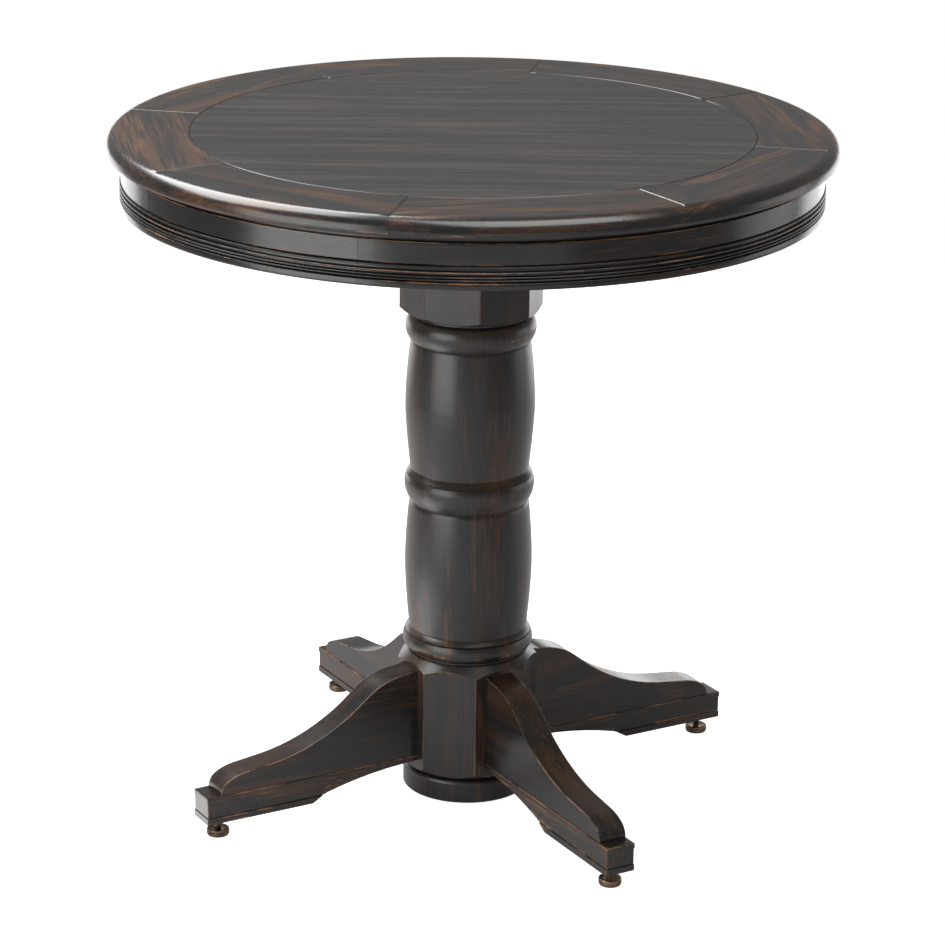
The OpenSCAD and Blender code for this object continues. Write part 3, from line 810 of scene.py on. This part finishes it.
top_turn = math.radians(3.2)
top_r = cad_high.x / mm
top_z1 = cad_high.z / mm
top_z0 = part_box("border_segment_1")[0].z / mm
tongue_reach = 10
tongue_high = 8
panel_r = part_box("centre_panel")[1].x / mm - tongue_reach + 0.05
tongue_z = top_z0 + (top_z1 - top_z0 - tongue_high) / 2
slot_r = panel_r + tongue_reach + 0.5
slot_foot = tongue_z - 0.2
slot_top = tongue_z + tongue_high + 0.2
edge_r = 19
lip_z = top_z0 + 3.3
groove = 1.5
top_brown = (0.066, 0.031, 0.0145, 1)
border_lacquer = lacquered("border lacquer", 1.0, 0.9, top_brown)
panel_stain = (0.031, 0.0252, 0.0218, 1)
panel_lacquer = lacquered("panel lacquer", 0.95, 0.1, top_brown, panel_stain, 0.2)

border_section = [
    (panel_r, top_z0), (top_r - 7, top_z0), *arc(top_r - 7.6, top_z0 + 0.6, 0.6, -90, 0, 2)[1:],
    (top_r - 6.4, lip_z - 0.5), (top_r - 5.9, lip_z + 0.5), (top_r - 4, lip_z + 1.4),
    (top_r - 2.2, lip_z + 1.7), *arc(top_r - edge_r, top_z1 - edge_r, edge_r, -10, 90, 26),
    (panel_r + groove, top_z1), (panel_r + 0.05, top_z1 - groove), (panel_r + 0.05, slot_top),
    (slot_r, slot_top), (slot_r, slot_foot), (panel_r, slot_foot),
]
border_wear = [
    (top_r - 5.6, lip_z + 1, 0.8), (top_r - 7, top_z0 + 0.5, 0.4), (top_r - 1, lip_z + 2.6, 0.9),
    (panel_r + groove, top_z1, 0.3),
]
border = outline_face(border_section, border_wear, 3)
sweep(border, 0, eighth, 24)


def open_groove(bm, normal):
    """Slopes the top of one mitre down to the bottom of its V groove."""
    normal = Vector(normal)
    score(bm, normal * groove, normal)
    for v in bm.verts:
        if abs(v.co.dot(normal)) < 1e-6:
            v.co.z = min(v.co.z, (top_z1 - groove) * mm)


open_groove(border, (0, 1, 0))
open_groove(border, Matrix.Rotation(eighth, 3, "Z") @ Vector((0, -1, 0)))
below_groove = [e for e in end_rims(border) if max(v.co.z for v in e.verts) < (top_z1 - groove - 0.3) * mm]
ease(border, below_groove, seam_ease, 0.15, 1)
middle = Matrix.Rotation(eighth / 2, 3, "Z")
lay_grain(border, middle @ Vector((0, 1, 0)), middle @ Vector((-1, 0, 0)))
for k in range(8):
    piece(
        f"border_{k + 1}", border, border_lacquer, "topper", [f"border_segment_{k + 1}"],
        top_turn + k * eighth, k + 30,
    )

panel_edge = panel_r - 0.05
panel = spin_round([
    (0, top_z0), (panel_edge - 3, top_z0), (panel_edge, top_z0), (panel_edge, tongue_z),
    (panel_edge + tongue_reach, tongue_z), (panel_edge + tongue_reach, tongue_z + tongue_high),
    (panel_edge, tongue_z + tongue_high),
    (panel_edge, top_z1 - groove), (panel_edge - groove, top_z1), (panel_edge - groove - 2.5, top_z1),
    (panel_edge - 60, top_z1), (0, top_z1),
], steps=192)
panel_wear = panel.verts.layers.float.new("wear")
for v in panel.verts:
    if abs(v.co.xy.length / mm - panel_edge + groove) < 0.1:
        v[panel_wear] = 0.2
panel_way = math.radians(15)
veneer_fine = 2.6  # how much finer the veneer's figure is than the boards'
along = Vector((math.cos(panel_way), math.sin(panel_way), 0))
lay_grain(panel, along, Vector((-along.y, along.x, 0)) * veneer_fine)
piece("panel", panel, panel_lacquer, "topper", ["centre_panel"], board=40)
finish_node(oak, "locating_cleats")


# ---- Studio ----
# A pale floor and backdrop, with soft lights: two overhead, a tall one in front on the left, low
# ones in front, at the right and behind, and one lying on the floor that lights the left toe.

view_side = 15.25
paper_white = (0.56, 0.56, 0.565, 1)
white = (1, 1, 1, 1)
floor_r = 3.3
floor_drop = 0.0002
floor_glimmer = 0.08
floor_seen = 0.85
fill_strength = 0.28
lights_aim = Vector((0, 0, 0.75))

floor_shape = bmesh.new()
bmesh.ops.create_circle(floor_shape, cap_ends=True, segments=96, radius=floor_r)
floor_mesh = bpy.data.meshes.new("studio_floor")
floor_shape.to_mesh(floor_mesh)
floor_shape.free()
studio_floor = bpy.data.objects.new("studio_floor", floor_mesh)
bpy.context.scene.collection.objects.link(studio_floor)
studio_floor.location.z = -floor_drop
paper, tree, shader = plain_material("studio paper")
shader["Base Color"].default_value = paper_white
shader["Roughness"].default_value = 0.9
shader["Specular IOR Level"].default_value = 0.0
shader["Emission Color"].default_value = white
seen = add(tree, "LightPath", {})["Is Camera Ray"]
shine = maths(tree, "ADD", floor_glimmer, maths(tree, "MULTIPLY", seen, floor_seen))
tree.links.new(shine, shader["Emission Strength"])
floor_mesh.materials.append(paper)


def softbox(name, side, height, distance, size, power):
    """A soft light at an angle round from the camera, aimed at the table."""
    light = bpy.data.lights.new(name, "AREA")
    light.shape = "RECTANGLE"
    light.size, light.size_y = size
    light.energy = power
    lamp = bpy.data.objects.new(name, light)
    bpy.context.scene.collection.objects.link(lamp)
    a = math.radians(view_side + side)
    lamp.location = (distance * math.sin(a), -distance * math.cos(a), height)
    aim = lights_aim - lamp.location
    lamp.rotation_euler = aim.to_track_quat("-Z", "Y").to_euler()
    lamp.visible_camera = False
    return lamp


softbox("overhead_left", -112, 2.55, 1.25, (2.2, 1.5), 108)
softbox("overhead", 25, 2.6, 0.95, (1.5, 1.4), 40)
softbox("front_left", -48, 0.9, 2.7, (1.9, 1.8), 44)
softbox("right", 102, 0.75, 3.0, (1.5, 1.3), 8)
softbox("back_right", 150, 0.4, 2.8, (2.6, 1.1), 20)
softbox("back_left", -148, 0.45, 2.8, (1.9, 0.85), 12)
softbox("front_low", -4, 0.27, 2.6, (3.4, 0.4), 3.6)
glow = softbox("floor_glow", -80, 0.01, 0.62, (0.5, 0.5), 1.6)
glow.rotation_euler = (math.pi, 0, 0)

world = bpy.data.worlds.new("studio")
bpy.context.scene.world = world
world.use_nodes = True
tree = world.node_tree
tree.nodes.clear()
fill, backdrop = (
    add(tree, "Background", {"Color": white, "Strength": strength})[0] for strength in (fill_strength, 1.0)
)
chosen = add(tree, "MixShader", {0: add(tree, "LightPath", {})["Is Camera Ray"], 1: fill, 2: backdrop})
tree.links.new(chosen[0], tree.nodes.new("ShaderNodeOutputWorld").inputs[0])
bpy.context.scene.view_settings.view_transform = "Standard"


# ---- Camera ----
# A long lens a little above the table top.

lens = 132.3
away = 5.2003
above = math.radians(17.983)
round_by = math.radians(view_side)
pan, tilt, roll = (math.radians(x) for x in (0.052, -0.508, 0.679))
aim_at = Vector((0, 0, 0.55))
back = Vector((math.sin(round_by) * math.cos(above), -math.cos(round_by) * math.cos(above), math.sin(above)))
camera = bpy.data.objects.new("camera", bpy.data.cameras.new("camera"))
camera.data.lens = lens
camera.data.sensor_width = 36
camera.data.clip_start, camera.data.clip_end = 0.1, 60
camera.matrix_world = (
    Matrix.Translation(aim_at + back * away)
    @ (-back).to_track_quat("-Z", "Y").to_matrix().to_4x4()
    @ Matrix.Rotation(-pan, 4, "Y") @ Matrix.Rotation(tilt, 4, "X") @ Matrix.Rotation(roll, 4, "Z")
)
bpy.context.scene.collection.objects.link(camera)
bpy.context.scene.camera = camera
